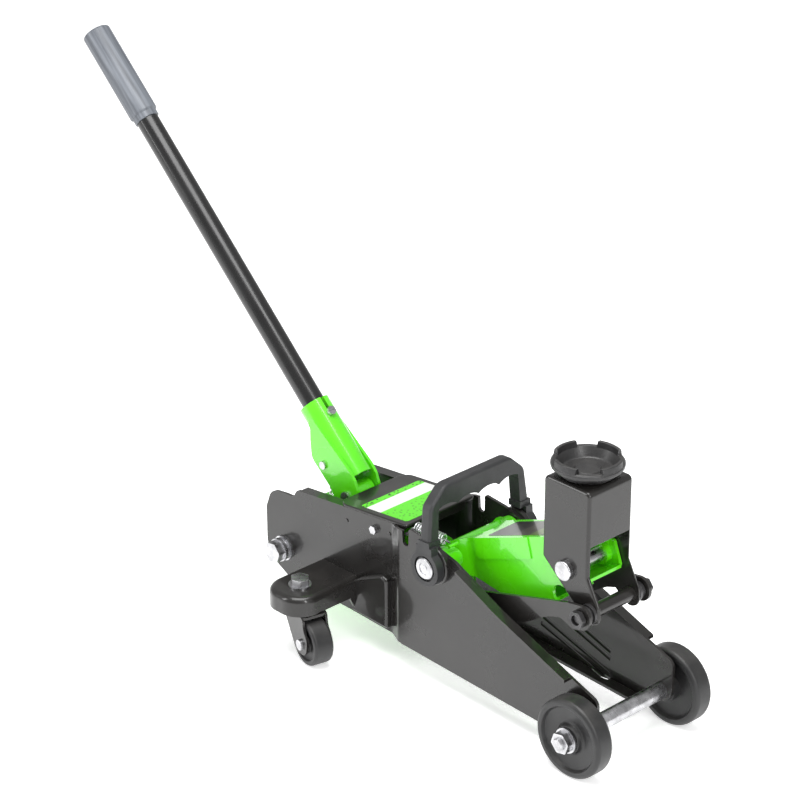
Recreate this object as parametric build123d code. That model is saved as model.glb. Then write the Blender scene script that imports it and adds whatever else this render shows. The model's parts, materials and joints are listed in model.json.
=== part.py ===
from build123d import *
import math
import os

# Hydraulic floor jack with a tall saddle bracket. All lengths are in millimetres.
# Working positions are measured from the front axle: +X forward, +Y left, +Z up, floor at Z = 0.
# SHIFT_X puts the finished assembly's origin on the floor under the middle of its outline.
SHIFT_X = 346.5

# wheels and axle
WHEEL_R = 38.0
WHEEL_W = 20.0
WHEEL_IN = 55.4
AXLE_R = 6.0
RUN = 0.05
# side plates
PLATE_OUT = 51.0
PLATE_T = 3.0
PLATE_IN = PLATE_OUT - PLATE_T
REAR_OUT = 44.5
REAR_IN = REAR_OUT - PLATE_T
# main pivot of the lift arm, saddle pin and the link bars' pivots: an exact parallelogram
P0 = (-190.0, 131.0)
P1 = (-50.0, 171.0)
L1 = (-20.4, 138.6)
L0 = (P0[0] + L1[0] - P1[0], P0[1] + L1[1] - P1[1])
ARM_ANGLE = math.degrees(math.atan2(P1[1] - P0[1], P1[0] - P0[0]))
ARM_LENGTH = math.hypot(P1[0] - P0[0], P1[1] - P0[1])
# handle
PH = (-348.0, 127.0)
PUSH = (-380.0, 150.0)
HANDLE_ANGLE = 43.4
H0 = (-348.0, 142.3)
SOCKET_R = 15.2
TUBE_R = 11.2
CHEEK_IN = 12.2
CHEEK_OUT = 15.2
# casters
KING = (-327.0, 95.0)
CASTER_R = 22.4
CASTER_TRAIL = 24.0
CASTER_TURN = 12.5
EAR_TOP = 71.0
# hydraulics
RAM_Z = 90.0
CRANK = 40.0
CRANK_REST = -7.0
TIE = (-406.0, 61.5)
PLUNGER_X = -376.0
PLUNGER_TOP = 139.0

os.makedirs("parts", exist_ok=True)


def save(name, *solids):
    """Move finished solids to the assembly's origin and write them as one node."""
    moved = [Pos(SHIFT_X, 0, 0) * s for s in solids]
    flat = []
    for m in moved:
        flat.extend(m.solids())
    shape = flat[0] if len(flat) == 1 else Compound(children=flat)
    export_step(shape, f"parts/{name}.step")


def box(x0, x1, y0, y1, z0, z1):
    return Pos((x0 + x1) / 2, (y0 + y1) / 2, (z0 + z1) / 2) * Box(x1 - x0, y1 - y0, z1 - z0)


def rod_y(x, z, y0, y1, r):
    lo, hi = min(y0, y1), max(y0, y1)
    return Pos(x, (lo + hi) / 2, z) * Rot(90, 0, 0) * Cylinder(r, hi - lo)


def rod_z(x, y, z0, z1, r):
    return Pos(x, y, (z0 + z1) / 2) * Cylinder(r, z1 - z0)


def rod_x(x0, x1, y, z, r):
    return Pos((x0 + x1) / 2, y, z) * Rot(0, 90, 0) * Cylinder(r, x1 - x0)


def hex_y(x, z, y0, y1, r, turn=0.0):
    """Hexagon bar along Y, r is half its width across the corners."""
    lo, hi = min(y0, y1), max(y0, y1)
    ring = [
        Vector(
            x + r * math.cos(math.radians(60 * k + turn)),
            lo,
            z + r * math.sin(math.radians(60 * k + turn)),
        )
        for k in range(6)
    ]
    bar = extrude(Face(Wire.make_polygon(ring)), hi - lo, dir=(0, 1, 0))
    return bar & rod_y(x, z, lo, hi, r * 0.965)


def hex_z(x, y, z0, z1, r, turn=0.0):
    bar = Pos(x, y, z0) * Rot(0, 0, turn) * extrude(RegularPolygon(r, 6), z1 - z0)
    return bar & rod_z(x, y, z0, z1, r * 0.965)


def hex_x(x0, x1, y, z, r):
    bar = Pos(x0, y, z) * Rot(0, 90, 0) * extrude(RegularPolygon(r, 6), x1 - x0)
    return bar & rod_x(x0, x1, y, z, r * 0.965)


def loop(points, place):
    """Closed wire through (a, b, radius) corners, placed in space by place(a, b)."""
    n = len(points)
    starts, ends, mids = [], [], []
    for i in range(n):
        a = Vector(points[i - 1][0], points[i - 1][1])
        b = Vector(points[i][0], points[i][1])
        c = Vector(points[(i + 1) % n][0], points[(i + 1) % n][1])
        r = points[i][2] if len(points[i]) > 2 else 0.0
        if r <= 0:
            starts.append(b)
            ends.append(b)
            mids.append(None)
            continue
        u = (a - b).normalized()
        v = (c - b).normalized()
        half = math.acos(max(-1.0, min(1.0, u.dot(v)))) / 2
        cut = r / math.tan(half)
        centre = b + (u + v).normalized() * (r / math.sin(half))
        starts.append(b + u * cut)
        ends.append(b + v * cut)
        mids.append(centre + (b - centre).normalized() * r)
    edges = []
    for i in range(n):
        if mids[i] is not None:
            s, m, e = [place(p.X, p.Y) for p in (starts[i], mids[i], ends[i])]
            edges.append(ThreePointArc(s, m, e))
        j = (i + 1) % n
        p, q = ends[i], starts[j]
        if (p - q).length > 1e-6:
            edges.append(Line(place(p.X, p.Y), place(q.X, q.Y)))
    return Wire(edges)


def slab_y(points, y0, y1):
    """Outline drawn in X and Z, made solid between two Y values."""
    lo, hi = min(y0, y1), max(y0, y1)
    face = Face(loop(points, lambda a, b: Vector(a, lo, b)))
    return extrude(face, hi - lo, dir=(0, 1, 0))


def slab_z(points, z0, z1):
    face = Face(loop(points, lambda a, b: Vector(a, b, z0)))
    return extrude(face, z1 - z0, dir=(0, 0, 1))


def ring_y(x, z, y0, y1, r, hole):
    return rod_y(x, z, y0, y1, r) - rod_y(x, z, min(y0, y1) - 1, max(y0, y1) + 1, hole)


def arm_point(u, v):
    """Lift arm coordinates: u along the arm from the main pivot, v square to it."""
    a = math.radians(ARM_ANGLE)
    return (
        P0[0] + u * math.cos(a) - v * math.sin(a),
        P0[1] + u * math.sin(a) + v * math.cos(a),
    )


def link_point(u, v):
    x, z = arm_point(u, v)
    return (x + L0[0] - P0[0], z + L0[1] - P0[1])


def to_handle(shape):
    """Place a shape drawn with its length on +Z and its front on +X on the handle's axis."""
    return Pos(H0[0], 0, H0[1]) * Rot(0, -(90 - HANDLE_ANGLE), 0) * shape


def mapped(points, place):
    return [(*place(p[0], p[1]), p[2] if len(p) > 2 else 0.0) for p in points]


# ---------------------------------------------------------------- frame
PLATE_OUTLINE = [
    (13, 71.5, 9),
    (-20, 83.0, 2),
    (-108, 114.8, 40),
    (-166, 141.5, 12),
    (-200, 150.0, 20),
    (-226, 152.5, 2),
    (-226, 133.5, 3.5),
    (-233.5, 133.5, 3.5),
    (-234.5, 147.6, 1),
    (-320, 138.3, 8),
    (-386, 131.0, 5),
    (-391.5, 122.0, 4),
    (-403, 121.3, 4),
    (-423, 118.5, 14),
    (-430.5, 98.0, 8),
    (-430.0, 60.0, 8),
    (-416, 41.0, 8),
    (-400, 33.0, 8),
    (-311, 31.5, 20),
    (-14, 19.5, 14),
    (13, 33.0, 16),
]
# the plates run closer together behind this bend, seen from above
JOGGLE = (-254.0, -240.0)


def strip(points, thick):
    """A strip of even thickness under a line of points, as an outline."""
    lower = [(x, z - thick) for x, z in reversed(points)]
    return [(x, z) for x, z in points] + lower


def side_plate(s):
    """Pressed plate: joggled in at the back, with flanges at its rear top, front and foot."""
    a, b = JOGGLE
    plan = [
        (-450, REAR_IN, 0),
        (a - 0.7, REAR_IN, 12),
        (b - 0.7, PLATE_IN, 6),
        (40, PLATE_IN, 0),
        (40, PLATE_OUT, 0),
        (b, PLATE_OUT, 9),
        (a, REAR_OUT, 9),
        (-450, REAR_OUT, 0),
    ]
    plate = slab_z(plan, 0.0, 180.0) & slab_y(PLATE_OUTLINE, 30.0, 60.0)
    front = strip([(-20.5, 83.2), (-108, 114.8), (-158, 137.6)], 3.0)
    plate += slab_y(front, PLATE_IN, 58.6)
    rear = strip([(-238, 147.2), (-320, 138.3), (-383, 131.3)], 2.6)
    plate += slab_y(rear, 33.0, REAR_OUT)
    foot = strip([(-24, 22.9), (-236, 31.0)], 3.0)
    plate += slab_y(foot, 36.0, PLATE_OUT)
    # stiffening ribs pressed into the plate, seen on its inner face near the front
    for dz in (0, 8.5, 25, 33.5):
        plate -= groove([(-150, 80 - dz), (-62, 52 - dz * 0.9)], 1)
    plate -= rod_y(0, WHEEL_R, 40, 60, AXLE_R)
    plate -= rod_y(P0[0], P0[1], 40, 60, 8.0)
    plate -= rod_y(TIE[0], TIE[1], 30, 60, 6.0)
    for x, z in ((-316.4, 124.9), (-258.5, 132.6)):
        plate += rod_y(x, z, REAR_OUT - 1, REAR_OUT + 0.7, 2.0)
    return plate if s > 0 else mirror(plate, about=Plane.XZ)


def groove(line, s):
    """A shallow round groove along a line on the plate's inner face."""
    (x0, z0), (x1, z1) = line
    length = math.hypot(x1 - x0, z1 - z0)
    tilt = math.degrees(math.atan2(z1 - z0, x1 - x0))
    bar = Rot(0, -tilt, 0) * Rot(0, 90, 0) * Cylinder(3.0, length)
    ends = Pos((x0 + x1) / 2, s * (PLATE_IN - 1.9), (z0 + z1) / 2) * bar
    return ends


def ear_outline(grow):
    r = 27.0 + grow
    return [
        (KING[0] - 27 - grow, REAR_OUT - 2.0, 0.0),
        (KING[0] - r, KING[1] + r, r * 0.84),
        (KING[0] + r, KING[1] + r, r * 0.84),
        (KING[0] + 27 + grow, REAR_OUT - 2.0, 0.0),
    ]


def caster_ear(s):
    """Pressed ear over the caster, with a foot that runs along the plate in front of it."""
    ear = slab_z(ear_outline(0.0), 36.0, EAR_TOP)
    rim = ear.faces().sort_by(Axis.Z)[-1].edges().filter_by(lambda e: e.center().Y > REAR_OUT)
    ear = fillet(rim, 6.0)
    ear -= slab_z(ear_outline(-3.0), 30.0, EAR_TOP - 3.0)
    # the skirt is deep beside the plate and shallow round the caster
    ear -= slab_z([(-400, 55), (-250, 55), (-250, 140), (-400, 140)], 20, 52.0)
    low = [(-400, 47.5, 35.0), (-400, 56.0, 52.0), (-400, 56.0, 20.0), (-400, 47.5, 20.0)]
    ear -= extrude(Face(Wire.make_polygon([Vector(*p) for p in low])), 150, dir=(1, 0, 0))
    foot = slab_y(
        [
            (-303.0, 36.0, 0),
            (-303.0, 68.0, 0),
            (-292.0, 75.5, 4),
            (-264.0, 88.5, 5),
            (-256.0, 86.0, 4),
            (-256.0, 34.0, 3),
        ],
        REAR_OUT,
        50.6,
    )
    edges = foot.faces().sort_by(Axis.Y)[-1].edges().filter_by(lambda e: e.center().X > -300)
    ear += fillet(edges, 3.0)
    ear -= box(-400, -250, 0, REAR_OUT, 0, 90)
    ear -= rod_z(KING[0], KING[1], 50, 90, 5.0)
    if s < 0:
        ear = mirror(ear, about=Plane.XZ)
    return ear


def top_cover():
    """Cover sheet across the plates' inward flanges, with a front lip bent down."""
    line = [(-235.5, 150.0), (-322, 140.7), (-329, 140.0)]
    cover = slab_y(strip(line, 2.2), -REAR_OUT, REAR_OUT)
    cover &= slab_z(
        [
            (-329, -REAR_OUT, 12),
            (-235.5, -REAR_OUT, 3),
            (-235.5, REAR_OUT, 3),
            (-329, REAR_OUT, 12),
        ],
        120,
        170,
    )
    rim = cover.faces().filter_by(lambda f: f.normal_at().Z > 0.9).edges()
    cover = fillet(rim.filter_by(lambda e: abs(e.center().Y) > 30 or e.center().X < -325), 1.4)
    lip = slab_y([(-236.0, 149.0), (-238.4, 149.0), (-238.4, 140.0), (-236.0, 140.0)], -32.5, 32.5)
    return cover + lip


def side_screws():
    """Small zinc screws in the plates' upper edge, one on each side."""
    out = []
    for s in (-1, 1):
        head = hex_y(-277.7, 130.5, s * REAR_OUT, s * 48.2, 4.4)
        out.append(head)
    return out


# ---------------------------------------------------------------- axle and wheels
def front_wheel(s):
    """Moulded wheel with a rounded tread, a dished outer face and a stepped hub."""
    w0, w1 = WHEEL_IN, WHEEL_IN + WHEEL_W
    half = [
        (AXLE_R + RUN, 51.4, 0),
        (13.0, 51.4, 0),
        (13.0, w0 + 4.5, 0),
        (29.0, w0 + 4.5, 3),
        (31.5, w0, 0.8),
        (WHEEL_R, w0, 4.0),
        (WHEEL_R, w1, 4.0),
        (31.5, w1, 1.0),
        (29.5, w1 - 4.0, 2.0),
        (15.0, w1 - 5.5, 3.0),
        (13.0, w1 - 0.5, 1.2),
        (AXLE_R + RUN, w1 - 0.5, 0),
    ]
    face = Face(loop(half, lambda a, b: Vector(0, b, a)))
    wheel = revolve(face, axis=Axis.Y)
    wheel = Pos(0, 0, WHEEL_R) * wheel
    if s < 0:
        wheel = mirror(wheel, about=Plane.XZ)
    return wheel


def front_axle():
    rod = rod_y(0, WHEEL_R, -88.0, 88.0, AXLE_R)
    return chamfer(rod.edges(), 1.0)


def axle_nut(s):
    nut = hex_y(0, WHEEL_R, s * 77.4, s * 84.8, 10.6, 12)
    return nut - rod_y(0, WHEEL_R, -100, 100, AXLE_R)


def axle_washer(s):
    return ring_y(0, WHEEL_R, s * 75.6, s * 77.3, 12.0, AXLE_R)


def front_spacer():
    return ring_y(0, WHEEL_R, -PLATE_IN, PLATE_IN, 8.0, AXLE_R)


# ---------------------------------------------------------------- rear tie bolt
def tie_bolt():
    bolt = rod_y(TIE[0], TIE[1], -52.4, 58.0, 6.0)
    head = hex_y(TIE[0], TIE[1], -52.4, -60.4, 11.0, 10)
    return bolt + head


def tie_washers():
    out = []
    for s in (-1, 1):
        flat = ring_y(TIE[0], TIE[1], s * REAR_OUT, s * 46.2, 12.5, 6.0)
        lock = ring_y(TIE[0], TIE[1], s * 46.2, s * 49.0, 9.2, 6.0)
        cup = ring_y(TIE[0], TIE[1], s * 49.0, s * 52.3, 11.6, 6.0)
        out.append(flat + lock + cup)
    return out


def tie_nut():
    return hex_y(TIE[0], TIE[1], 52.4, 57.4, 11.0, 10) - rod_y(TIE[0], TIE[1], 50, 70, 6.0)


# ---------------------------------------------------------------- casters
def caster_place(s, shape):
    """A caster is drawn round its king pin with the wheel trailing along +X."""
    return Pos(KING[0], s * KING[1], 0) * Rot(0, 0, s * CASTER_TURN) * shape


def caster_fork():
    """Pressed fork: a top plate with two raked cheeks down to the axle."""
    top = 51.2
    plate = slab_z(
        [(-17, -13.6, 9), (28, -13.6, 6), (28, 13.6, 6), (-17, 13.6, 9)], top - 2.5, top
    )
    for s in (-1, 1):
        cheek = slab_y(
            [
                (-11, top, 2),
                (27, top, 4),
                (29, 38, 12),
                (35.5, 30, 9),
                (33.5, 12.5, 9),
                (15, 12.5, 9),
            ],
            s * 11.2,
            s * 13.6,
        )
        plate += cheek
    plate -= rod_z(0, 0, 30, 70, 5.08)
    plate -= rod_y(CASTER_TRAIL, CASTER_R, -20, 20, 3.0)
    return plate


def caster_wheel():
    half = [
        (3.05, -10.2, 0),
        (9.0, -10.2, 1.0),
        (9.6, -8.0, 1.0),
        (16.0, -7.6, 1.5),
        (17.6, -10.2, 0.8),
        (CASTER_R, -10.2, 3.0),
        (CASTER_R, 10.2, 3.0),
        (17.6, 10.2, 0.8),
        (16.0, 7.6, 1.5),
        (9.6, 8.0, 1.0),
        (9.0, 10.2, 1.0),
        (3.05, 10.2, 0),
    ]
    face = Face(loop(half, lambda a, b: Vector(0, b, a)))
    return Pos(CASTER_TRAIL, 0, CASTER_R) * revolve(face, axis=Axis.Y)


def caster_axle():
    pin = rod_y(CASTER_TRAIL, CASTER_R, -13.6, 13.6, 3.0)
    for s in (-1, 1):
        head = rod_y(CASTER_TRAIL, CASTER_R, s * 13.6, s * 16.0, 5.2)
        pin += head
    return pin


def caster_race():
    ring = Pos(0, 0, 59.4) * Cylinder(15.5, 16.2)
    ring -= Pos(0, 0, 59.4) * Cylinder(5.08, 20)
    groove_cut = Pos(0, 0, 59.4) * Torus(16.5, 3.2)
    return ring - groove_cut


def king_bolt(s):
    x, y = KING[0], s * KING[1]
    bolt = rod_z(x, y, 46.6, 72.6, 5.0)
    return bolt + hex_z(x, y, 72.6, 79.2, 9.4, 20)


def king_washer(s):
    x, y = KING[0], s * KING[1]
    return rod_z(x, y, EAR_TOP, 72.6, 11.0) - rod_z(x, y, 60, 80, 5.0)


def king_nut(s):
    x, y = KING[0], s * KING[1]
    flange = rod_z(x, y, 46.2, 48.3, 7.6)
    return flange - rod_z(x, y, 40, 60, 5.0)


# ---------------------------------------------------------------- main pivot
def main_shaft():
    shaft = rod_y(P0[0], P0[1], -57.0, 57.0, 8.0)
    for s in (-1, 1):
        end = rod_y(P0[0], P0[1], s * 57.0, s * 66.6, 10.5)
        end = chamfer(end.edges().filter_by(GeomType.CIRCLE).sort_by(Axis.Y)[-1 if s > 0 else 0], 0.8)
        end -= rod_y(P0[0], P0[1], s * 65.8, s * 70, 6.0)
        end += rod_y(P0[0], P0[1], s * 65.0, s * 66.2, 3.6)
        shaft += end
    return shaft


def pivot_cap(s):
    cap = ring_y(P0[0], P0[1], s * PLATE_OUT, s * 57.0, 19.5, 8.0)
    edge = cap.edges().filter_by(GeomType.CIRCLE).filter_by(lambda e: e.radius > 19)
    return fillet(edge.sort_by(Axis.Y)[-1 if s > 0 else 0], 2.0)


# ---------------------------------------------------------------- lift arm
def taper(u):
    """Half-width of the lift arm's outer faces along its length."""
    if u >= 20:
        return 24.2
    if u <= 3:
        return 36.0
    return 36.0 + (u - 3) * (24.2 - 36.0) / 17.0


def crest(u):
    """Height of the lift arm's top face above its pivot line."""
    return 15.6 + 0.095 * u


def arm_plan(outer):
    """The arm's plan outline between its outer faces, or its inner ones."""
    off = 0.0 if outer else 3.0
    bend = 10 if outer else 13
    pts = [(-20, 36.0 - off, 0), (3, 36.0 - off, 6), (20, 24.2 - off, bend), (170, 24.2 - off, 0)]
    return [(u, -y, r) for u, y, r in pts] + [(u, y, r) for u, y, r in reversed(pts)]


def arm_space(shape):
    """From arm coordinates (u on X, width on Y, v on Z) to the assembly."""
    return Pos(P0[0], 0, P0[1]) * Rot(0, -ARM_ANGLE, 0) * shape


def lift_arm():
    """Box arm: two walls flared to the pivot tube, a top and a bottom web, and crank plates."""
    side = [
        (-14, 6, 10),
        (-2, crest(-2), 6),
        (124, crest(124), 4),
        (142, 19, 6),
        (160.5, 12.0, 4),
        (163, -14.0, 4),
        (137, -15.5, 3),
        (123, -34.0, 4),
        (52, -34.0, 8),
        (10, -16.0, 12),
        (-14, -12.0, 14),
    ]
    profile = Face(loop(side, lambda a, b: Vector(a, -60, b)))
    body = extrude(profile, 120, dir=(0, 1, 0))
    outer = slab_z(arm_plan(True), -60, 60)
    inner = slab_z(arm_plan(False), -60, 60)
    walls = body & (outer - inner)
    top = slab_y([(10, crest(10)), (124, crest(124)), (124, crest(124) - 3), (10, crest(10) - 3)], -40, 40)
    top -= Pos(-3, 0, 20) * Cylinder(30, 60)
    base = slab_y([(50, -34), (122, -34), (122, -31.2), (50, -31.2)], -40, 40)
    floor = slab_y([(134, -15.0), (163.0, -14.0), (163.0, -11.2), (134, -12.2)], -22.0, 22.0)
    arm = walls + ((top + base) & outer) + floor
    # raised upper band along both sides
    band_side = [
        (28, crest(28), 0),
        (100, crest(100), 0),
        (100, crest(100) - 20.5, 0),
        (28, crest(28) - 20.5, 5),
    ]
    fat = slab_z([(26, -25.6, 0), (116, -25.6, 0), (116, 25.6, 0), (26, 25.6, 0)], -60, 60)
    arm += slab_y(band_side, -30, 30) & (fat - slab_z([(20, -23, 0), (120, -23, 0), (120, 23, 0), (20, 23, 0)], -60, 60))
    # pivot tube, crank plates and pin collars
    tube = Rot(90, 0, 0) * Cylinder(13.0, 94.0)
    arm += tube
    for s in (-1, 1):
        collar = Pos(ARM_LENGTH, s * 18.0, 0) * Rot(90, 0, 0) * Cylinder(10.0, 7.0)
        arm += collar
        a = math.radians(CRANK_REST - ARM_ANGLE)
        q = (CRANK * math.sin(a), -CRANK * math.cos(a))
        plate = hull_plate((0, 0), 13.0, q, 9.5, s * 8.6, s * 13.0)
        arm += plate
    arm -= Rot(90, 0, 0) * Cylinder(8.0 + RUN, 200.0)
    arm -= Pos(ARM_LENGTH, 0, 0) * Rot(90, 0, 0) * Cylinder(7.0, 60.0)
    a = math.radians(CRANK_REST - ARM_ANGLE)
    arm -= Pos(CRANK * math.sin(a), 0, -CRANK * math.cos(a)) * Rot(90, 0, 0) * Cylinder(6.0, 60.0)
    # round bite out of the lower front corner of both sides
    arm -= Pos(128.5, 0, -27) * Rot(90, 0, 0) * Cylinder(9.5, 100.0)
    # peg that the return spring hooks on
    arm += Pos(13.0, -37.6, 14.2) * Rot(90, 0, 0) * Cylinder(1.6, 11.0)
    return arm_space(arm)


def hull_plate(a, ra, b, rb, y0, y1):
    """A plate with two round ends joined by its outer tangents, drawn in X and Z."""
    lo, hi = min(y0, y1), max(y0, y1)
    d = math.hypot(b[0] - a[0], b[1] - a[1])
    ang = math.atan2(b[1] - a[1], b[0] - a[0])
    t = math.acos((ra - rb) / d)
    pts = []
    for sgn in (1, -1):
        dx, dz = math.cos(ang + sgn * t), math.sin(ang + sgn * t)
        pts.append([(a[0] + ra * dx, a[1] + ra * dz), (b[0] + rb * dx, b[1] + rb * dz)])
    quad = [pts[0][0], pts[0][1], pts[1][1], pts[1][0]]
    face = Face(Wire.make_polygon([Vector(x, lo, z) for x, z in quad]))
    plate = extrude(face, hi - lo, dir=(0, 1, 0))
    return plate + rod_y(a[0], a[1], lo, hi, ra) + rod_y(b[0], b[1], lo, hi, rb)


def crank_point():
    a = math.radians(CRANK_REST)
    return (P0[0] + CRANK * math.sin(a), P0[1] - CRANK * math.cos(a))


def crank_pin():
    q = crank_point()
    return rod_y(q[0], q[1], -15.5, 15.5, 6.0)


def saddle_pin():
    """Flat-headed pin that carries the saddle bracket on the arm's front end."""
    pin = rod_y(P1[0], P1[1], -28.2, 30.2, 7.0 - RUN)
    head = rod_y(P1[0], P1[1], -28.2, -33.2, 9.5)
    head = fillet(head.edges().filter_by(GeomType.CIRCLE).sort_by(Axis.Y)[0], 1.2)
    clip = ring_y(P1[0], P1[1], 28.2, 29.8, 9.0, 6.0)
    return pin + head + clip


# ---------------------------------------------------------------- saddle bracket
def saddle_bracket():
    x0, x1, top = -79.3, -24.3, 254.4
    side = [
        (x0, top, 5),
        (x0, 174, 3),
        (-52, 150, 6),
        (-31.5, 131.5, 9),
        (-20.4, 125.5, 8),
        (-9.5, 131, 9),
        (-10.5, 146, 8),
        (x1, 172, 6),
        (x1, top, 5),
    ]
    block = slab_y(side, -28.0, 28.0)
    inner = slab_y(side, -25.0, 25.0)
    keep = box(-90, 0, -30, 30, top - 3.2, top + 1)
    keep += box(x1 - 3.0, x1 + 1, -30, 30, 201.0, top + 1)
    keep += box(x0 - 1, x0 + 3.0, -30, 30, 222.0, top + 1)
    long_edges = block.edges().filter_by(Axis.X).group_by(Axis.Z)[-1]
    block = fillet(long_edges, 3.0)
    shell = (block - inner) + (block & keep)
    shell -= rod_z(-53.0, 0, top - 10, top + 20, 8.06)
    shell -= rod_y(P1[0], P1[1], -40, 40, 7.0)
    shell -= rod_y(L1[0], L1[1], -40, 40, 5.0)
    return shell


def lower_spacer():
    return ring_y(L1[0], L1[1], -24.9, 24.9, 6.6, 5.0)


def lower_bolt():
    bolt = rod_y(L1[0], L1[1], -44.0, 44.0, 5.0)
    return chamfer(bolt.edges(), 0.8)


def lower_washers():
    out = []
    for s in (-1, 1):
        out.append(ring_y(L1[0], L1[1], s * 28.1, s * 31.2, 9.5, 5.0))
        out.append(ring_y(L1[0], L1[1], s * 31.6, s * 36.2, 8.0, 5.0))
    return out


def lower_nuts():
    out = []
    for s in (-1, 1):
        nut = hex_y(L1[0], L1[1], s * 41.2, s * 46.4, 8.6, 8) - rod_y(L1[0], L1[1], -50, 50, 5.0)
        out.append(nut)
    return out


def saddle_cup():
    """Cast saddle: post, flared bowl, four lugs on its rim and a raised centre disc."""
    half = [
        (0, 236.0, 0),
        (8.0, 236.0, 0),
        (8.0, 254.8, 0),
        (23.0, 254.8, 2.0),
        (33.2, 263.8, 3.0),
        (33.2, 266.8, 1.0),
        (31.6, 268.4, 0.8),
        (28.2, 268.4, 0.8),
        (22.5, 259.2, 3.0),
        (13.0, 258.6, 0),
        (11.2, 260.3, 0.6),
        (0, 260.3, 0),
    ]
    cup = revolve(Face(loop(half, lambda a, b: Vector(a, 0, b))), axis=Axis.Z)
    lug_half = [(27.2, 265.5, 0), (32.9, 265.5, 0), (31.6, 273.2, 1.0), (28.6, 273.2, 1.0)]
    lug = revolve(Face(loop(lug_half, lambda a, b: Vector(a, 0, b))), axis=Axis.Z)
    wedge = Box(40, 25, 60)
    lug &= (Pos(25, 0, 270) * wedge) + (Pos(-25, 0, 270) * wedge) + (
        Pos(0, 0, 270) * Rot(0, 0, 90) * ((Pos(25, 0, 0) * wedge) + (Pos(-25, 0, 0) * wedge))
    )
    return Pos(-53.0, 0, 0) * (cup + lug)


# ---------------------------------------------------------------- link bars
def link_bar(s):
    side = [
        (-12.5, 12.5, 11),
        (133, 13.5, 8),
        (157.5, 10.5, 11),
        (157.0, -11.5, 11),
        (134, -11.5, 8),
        (120, -1.5, 10),
        (104, -2.5, 12),
        (72, -12.0, 12),
        (-12.5, -12.0, 11),
    ]
    bar = slab_y(mapped(side, link_point), s * 37.2, s * 40.4)
    bar -= rod_y(L0[0], L0[1], -60, 60, 5.0 + RUN)
    bar -= rod_y(L1[0], L1[1], -60, 60, 5.6)
    return bar


def link_pin(s):
    pin = rod_y(L0[0], L0[1], s * 36.4, s * PLATE_IN, 5.0)
    return pin + rod_y(L0[0], L0[1], s * 40.8, s * PLATE_IN, 8.5)


# ---------------------------------------------------------------- hydraulics
def pump_body():
    body = slab_y(
        [(-412, 52, 6), (-412, 88, 6), (-404, 104, 6), (-335.5, 104, 3), (-335.5, 50, 4)], -34.0, 34.0
    )
    body += rod_y(TIE[0], TIE[1], -REAR_IN, REAR_IN, 13.5)
    lug = slab_y([(-358, 100), (-358, 139, 10), (-336, 139, 10), (-336, 100)], -11.4, 11.4)
    body += lug
    body += rod_z(PLUNGER_X, 0, 100, 112, 11.0)
    body -= rod_y(TIE[0], TIE[1], -60, 60, 6.0)
    body -= rod_y(PH[0], PH[1], -30, 30, 4.0)
    body -= rod_z(PLUNGER_X, 0, 64.0, 130, 6.0 + RUN)
    body -= rod_x(-420, -396, 18, 86, 5.0 + RUN)
    body -= rod_x(-420, -396, -18, 86, 4.0)
    return body


def ram_cylinder():
    tube = rod_x(-335.4, -233.0, 0, RAM_Z, 19.0)
    return tube - rod_x(-326.0, -200.0, 0, RAM_Z, 9.0 + RUN)


def tank_tube():
    return rod_x(-335.4, -243.0, 0, RAM_Z, 29.5) - rod_x(-350.0, -200.0, 0, RAM_Z, 26.5)


def tank_nut():
    nut = hex_x(-242.9, -233.0, 0, RAM_Z, 30.0)
    return nut - rod_x(-260.0, -200.0, 0, RAM_Z, 19.0)


def filler_plug():
    return rod_z(-292.0, 0, 119.6, 124.0, 5.0)


def overload_screw():
    return rod_x(-414.5, -397.0, -18, 86, 4.0) + hex_x(-416.0, -412.1, -18, 86, 6.4)


def release_valve():
    return rod_x(-413.0, -397.0, 18, 86, 5.0) + hex_x(-420.0, -412.4, 18, 86, 7.5)


def ram_rod():
    """Piston rod and the slotted crosshead that pushes the arm's crank pin."""
    q = crank_point()
    head = slab_y(
        [(q[0] - 14, 77, 3), (q[0] - 14, 106, 2), (q[0] + 14, 106, 2), (q[0] + 14, 77, 3)], -8.2, 8.2
    )
    head -= slab_y([(q[0] - 7.2, 83.0, 6.5), (q[0] + 7.2, 83.0, 6.5), (q[0] + 7.2, 110), (q[0] - 7.2, 110)], -10, 10)
    return head + rod_x(-300.0, q[0] - 13.0, 0, RAM_Z, 9.0)


def pump_plunger():
    rod = rod_z(PLUNGER_X, 0, 84.0, PLUNGER_TOP - 4.0, 6.0)
    cap = rod_z(PLUNGER_X, 0, PLUNGER_TOP - 4.0, PLUNGER_TOP, 8.6)
    return rod + chamfer(cap.edges().group_by(Axis.Z)[-1], 0.8)


def coil(start, end, radius, wire, turns, hooks=True):
    """Helical spring between two points, with straight lead-out wires when hooked."""
    a, b = Vector(*start), Vector(*end)
    d = b - a
    length = d.length
    helix = Helix(pitch=length / turns, height=length, radius=radius)
    profile = Plane(helix @ 0, z_dir=helix % 0) * Circle(wire)
    body = sweep(profile, path=helix, is_frenet=True)
    if hooks:
        # the last turn is bent in to the spring's middle line at each end
        for z in (0.0, length):
            body += Pos(radius / 2, 0, z) * Rot(0, 90, 0) * Cylinder(wire, radius)
    place = Plane(origin=a, z_dir=d.normalized())
    return place.location * body


def plunger_spring():
    return coil((PLUNGER_X, 0, 113.0), (PLUNGER_X, 0, 134.0), 8.0, 0.8, 4, hooks=False)


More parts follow.
